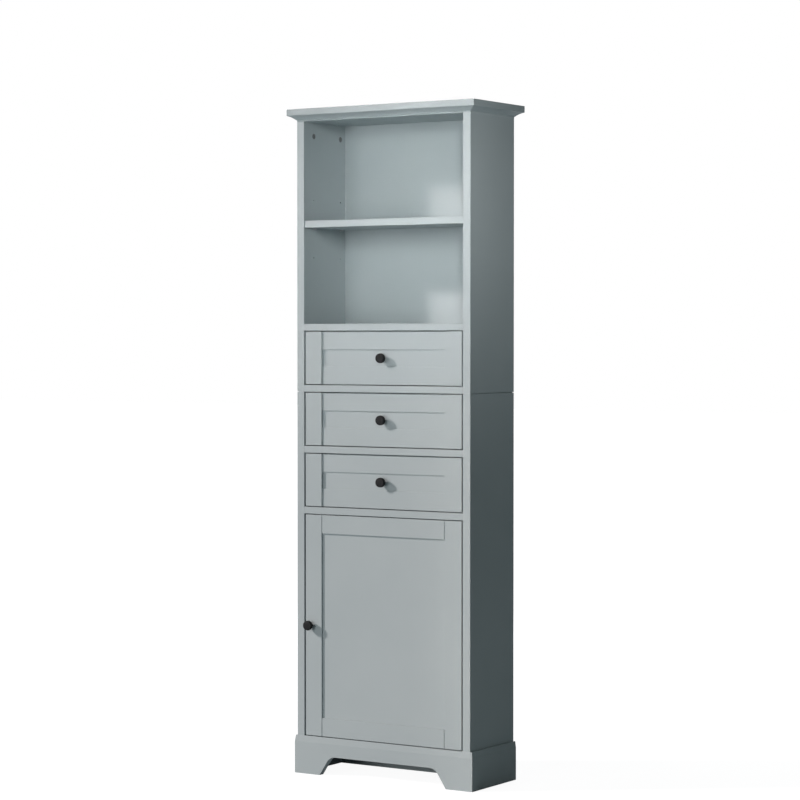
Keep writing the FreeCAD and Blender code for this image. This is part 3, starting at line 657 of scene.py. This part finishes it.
class CABINET_OT_paint_boards(bpy.types.Operator):
    """Gives every board and front that shows the satin paint"""

    bl_idname = "cabinet.paint_boards"
    bl_label = "Paint boards"

    def execute(self, context):
        dress("painted_board", paint_material(context.scene.cabinet_paint))
        return {"FINISHED"}


class CABINET_OT_coat_inner_boards(bpy.types.Operator):
    """Gives the drawer boxes, the cupboard's shelf and its back a matt coat"""

    bl_idname = "cabinet.coat_inner_boards"
    bl_label = "Coat inner boards"

    def execute(self, context):
        dress("inner_board", board_material(context.scene.cabinet_boards))
        return {"FINISHED"}


class CABINET_OT_plate_fittings(bpy.types.Operator):
    """Gives hinges, pins and the catch's plate their zinc, and cams, catch and dowels their own finish"""

    bl_idname = "cabinet.plate_fittings"
    bl_label = "Plate fittings"

    def execute(self, context):
        hardware = context.scene.cabinet_hardware
        dress("zinc_steel", zinc_material(hardware))
        # The cams get a darker metal that paints in their shade.
        frame["nodes"]["cam_locks"].material_slots[0].material = shaded_cam_material(hardware)
        dress("catch_plastic", plastic_material(hardware))
        dress("beech", beech_material(hardware))
        return {"FINISHED"}


class CABINET_OT_roll_slides(bpy.types.Operator):
    """Rolls the outer, middle and inner channels of the drawers' slides in place of the CAD ones"""

    bl_idname = "cabinet.roll_slides"
    bl_label = "Roll slides"

    def execute(self, context):
        hardware = context.scene.cabinet_hardware
        zinc = zinc_plating()
        pairs = {("slide_outer_members", "carcass"): []}
        outer = corners("slide_outer_members")
        for drawer in DRAWERS:
            low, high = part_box(drawer + "_slide_inner")
            beside = outer[np.abs(outer[:, 2] - (low.z + high.z) / 2) < high.z - low.z]
            pairs["slide_outer_members", "carcass"] += rolled_pair(beside, True, hardware)
            runner = drawer.replace("drawer", "runner")
            middle, inner = drawer + "_slide_middle", drawer + "_slide_inner"
            pairs[middle, runner] = rolled_pair(corners(middle), True, hardware)
            pairs[inner, drawer] = rolled_pair(corners(inner), False, hardware)
        for (node, body), parts in pairs.items():
            piece = make_piece(node + "_rolled", parts, [zinc], SHARP_ANGLE)
            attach(piece, body)
            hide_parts(node)
        return {"FINISHED"}


class CABINET_OT_turn_knobs(bpy.types.Operator):
    """Turns the four knobs, each with its screw, in place of the CAD ones"""

    bl_idname = "cabinet.turn_knobs"
    bl_label = "Turn knobs"

    def execute(self, context):
        knobs = context.scene.cabinet_knobs
        black = knob_material(knobs)
        zinc = zinc_plating()
        for node, (body, front) in KNOB_FACES.items():
            low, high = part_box(node)
            face_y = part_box(front)[0].y
            centre = np.array([(low.x + high.x) / 2, face_y, (low.z + high.z) / 2])
            grip = high.y - face_y - knobs.screw_head
            turned, turned_faces = lathe(knob_profile(knobs), knobs.steps)
            screw, screw_faces = lathe(screw_profile(knobs, knobs.length / 2, grip), knobs.steps // 3)
            outward = turned[:, [0, 2, 1]] * (1, -1, 1) + centre
            inward = screw[:, [0, 2, 1]] * (-1, 1, 1) + centre
            parts = [(outward, turned_faces, 0), (inward, screw_faces, 1)]
            piece = make_piece(node + "_turned", parts, [black, zinc], SHARP_ANGLE)
            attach(piece, body)
            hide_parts(node)
        return {"FINISHED"}


class CABINET_OT_set_stage(bpy.types.Operator):
    """Sets the floor, the lamps, the room light and the camera"""

    bl_idname = "cabinet.set_stage"
    bl_label = "Set stage"

    def execute(self, context):
        stage = context.scene.cabinet_stage
        context.scene.view_settings.view_transform = "Standard"
        make_floor(stage)
        make_lamps(stage)
        make_room_light(context.scene, stage)
        make_camera(context.scene, stage)
        return {"FINISHED"}


# Stage
FLOOR_POINTS = 9
GLOW_NEAR = 0.5
GLOW_FAR = 3.0
ROOM_COLOUR = (0.71, 0.965, 1.0)
CABINET_MIDDLE = (0.0, 0.0, 0.9)

# Each lamp's place, the point that it faces and its colour
LAMPS = {
    "key_light": ((-2.8, -2.0, 2.7), CABINET_MIDDLE, (1.0, 0.867, 0.844)),
    "front_softbox": ((-0.5, -4.0, 1.0), CABINET_MIDDLE, (1.0, 0.96, 0.96)),
    "back_softbox": ((-1.3, 3.6, 1.5), CABINET_MIDDLE, WHITE),
    "strip_lamp": ((0.5, -2.2, 0.6), (0.42, -0.1, 0.45), (1.0, 0.86, 0.77)),
    "bay_lamp": ((1.15, -1.6, 1.75), (0.1, -0.1, 1.48), (1.0, 0.97, 0.965)),
}

# Each softbox's width and height, and its beam's full angle in degrees
SOFTBOXES = {
    "front_softbox": (2.4, 1.7, 180),
    "back_softbox": (2.4, 1.7, 180),
    "strip_lamp": (0.15, 1.2, 20),
    "bay_lamp": (0.3, 0.6, 32),
}


def seen_rays(nodes):
    """1 for rays that come from the camera, a reflection or glass, and 0 for light that bounces."""
    path = nodes.add("ShaderNodeLightPath").outputs
    seen = path["Is Camera Ray"]
    for kind in ("Is Glossy Ray", "Is Transmission Ray"):
        seen = nodes.add("ShaderNodeMath", {0: seen, 1: path[kind]}, operation="MAXIMUM").outputs["Value"]
    return seen


def make_floor(stage):
    """A level square, point (i, j) at (x_i, y_j, 0). Seen, it is white but for the cabinet's shadow."""
    along = np.linspace(-stage.floor_size / 2, stage.floor_size / 2, FLOOR_POINTS)
    x, y = np.meshgrid(along, along, indexing="ij")
    points = np.stack([x, y, np.zeros_like(x)], -1).reshape(-1, 3)
    index = np.arange(x.size).reshape(x.shape)
    quads = np.stack([index[:-1, :-1], index[1:, :-1], index[1:, 1:], index[:-1, 1:]], -1).reshape(-1, 4)
    nodes = MaterialNodes("studio_floor")
    reach = nodes.add("ShaderNodeVectorMath", {0: nodes.place}, operation="LENGTH").outputs["Value"]
    glow = nodes.ramp(reach, GLOW_NEAR, GLOW_FAR, stage.floor_glow, 1.0)
    lift = nodes.add("ShaderNodeEmission", {"Color": (*WHITE, 1.0), "Strength": glow})
    shade = nodes.add("ShaderNodeBsdfDiffuse", {"Color": (*stage.shade_colour, 1.0)})
    bright = nodes.add("ShaderNodeAddShader", {0: lift.outputs[0], 1: shade.outputs[0]})
    bounce = nodes.add("ShaderNodeBsdfDiffuse", {"Color": (*stage.floor_colour, 1.0)})
    choice = {0: seen_rays(nodes), 1: bounce.outputs[0], 2: bright.outputs[0]}
    mixed = nodes.add("ShaderNodeMixShader", choice)
    nodes.tree.links.new(mixed.outputs[0], nodes.tree.nodes["Material Output"].inputs["Surface"])
    nodes.tree.nodes.remove(nodes.shader)
    floor = make_piece("studio_floor", [(points, quads.tolist(), 0)], [nodes.owner], math.pi)


def around(azimuth, elevation, distance, centre):
    """A point at an azimuth right of straight ahead and an elevation above a centre."""
    level = distance * math.cos(elevation)
    return Vector((
        centre[0] + level * math.sin(azimuth),
        centre[1] - level * math.cos(azimuth),
        centre[2] + distance * math.sin(elevation)))


def far_lamp(name, angle):
    """A lamp so far off that its light is parallel, as wide as the angle it fills."""
    lamp = bpy.data.lights.new(name, "SUN")
    lamp.angle = angle
    return lamp


def softbox(name):
    """A flat lamp of its own width and height, with its beam's full angle."""
    lamp = bpy.data.lights.new(name, "AREA")
    lamp.shape = "RECTANGLE"
    lamp.size, lamp.size_y, spread = SOFTBOXES[name]
    lamp.spread = math.radians(spread)
    return lamp


def add_lamp(name, lamp, strength):
    """Puts a lamp at its place so that it faces its point."""
    place, aim, colour = LAMPS[name]
    lamp.energy = strength
    lamp.color = colour
    obj = bpy.data.objects.new(name, lamp)
    obj.location = place
    obj.rotation_euler = (Vector(aim) - Vector(place)).to_track_quat("-Z", "Y").to_euler()
    bpy.context.scene.collection.objects.link(obj)


def make_lamps(stage):
    """A far key high on the left, a wide softbox in front and one behind, a tall strip that leans on the
    fronts' right edge, and a small lamp that lifts the open bay."""
    powers = {
        "front_softbox": stage.front_power,
        "back_softbox": stage.back_power,
        "strip_lamp": stage.strip_power,
        "bay_lamp": stage.bay_power,
    }
    add_lamp("key_light", far_lamp("key_light", stage.key_angle), stage.key_strength)
    for name, power in powers.items():
        add_lamp(name, softbox(name), power)


def make_room_light(scene, stage):
    """Even cool light from all round that bounces, with plain white where it is seen."""
    nodes = Nodes(bpy.data.worlds.new("studio_room"))
    nodes.tree.nodes.clear()
    dim = nodes.add("ShaderNodeBackground", {"Color": (*ROOM_COLOUR, 1.0), "Strength": stage.ambient})
    white = nodes.add("ShaderNodeBackground", {"Color": (*WHITE, 1.0), "Strength": 1.0})
    choice = {0: seen_rays(nodes), 1: dim.outputs[0], 2: white.outputs[0]}
    mixed = nodes.add("ShaderNodeMixShader", choice)
    nodes.add("ShaderNodeOutputWorld", {"Surface": mixed.outputs[0]})
    scene.world = nodes.owner


def make_camera(scene, stage):
    """A camera at the picture's viewing angle, with no lens shift."""
    data = bpy.data.cameras.new("camera")
    data.lens = stage.lens
    camera = bpy.data.objects.new("camera", data)
    right = Vector((math.cos(stage.azimuth), math.sin(stage.azimuth), 0.0))
    aim = right * stage.aim_side + Vector((0.0, 0.0, stage.aim_height))
    camera.location = around(stage.azimuth, stage.elevation, stage.distance, aim)
    camera.rotation_euler = (aim - camera.location).to_track_quat("-Z", "Y").to_euler()
    scene.collection.objects.link(camera)
    scene.camera = camera


class CABINET_PT_panel(bpy.types.Panel):
    """The cabinet's steps and settings in the sidebar"""

    bl_idname = "CABINET_PT_panel"
    bl_label = "Bathroom cabinet"
    bl_space_type = "VIEW_3D"
    bl_region_type = "UI"
    bl_category = "Cabinet"

    def draw(self, context):
        for step in STEPS:
            self.layout.operator(step.bl_idname)
        for name, group in SETTINGS.items():
            box = self.layout.box()
            for key in group.__annotations__:
                box.prop(getattr(context.scene, name), key)


STEPS = (
    CABINET_OT_paint_boards,
    CABINET_OT_coat_inner_boards,
    CABINET_OT_plate_fittings,
    CABINET_OT_roll_slides,
    CABINET_OT_turn_knobs,
    CABINET_OT_set_stage,
)
CLASSES = (*SETTINGS.values(), *STEPS, CABINET_PT_panel)


def register():
    for cls in CLASSES:
        bpy.utils.register_class(cls)
    for name, group in SETTINGS.items():
        setattr(bpy.types.Scene, name, PointerProperty(type=group))


def unregister():
    for name in SETTINGS:
        delattr(bpy.types.Scene, name)
    for cls in reversed(CLASSES):
        bpy.utils.unregister_class(cls)


def main():
    register()
    bpy.ops.cabinet.paint_boards()
    bpy.ops.cabinet.coat_inner_boards()
    bpy.ops.cabinet.plate_fittings()
    bpy.ops.cabinet.roll_slides()
    bpy.ops.cabinet.turn_knobs()
    bpy.ops.cabinet.set_stage()


if __name__ == "__main__":
    main()
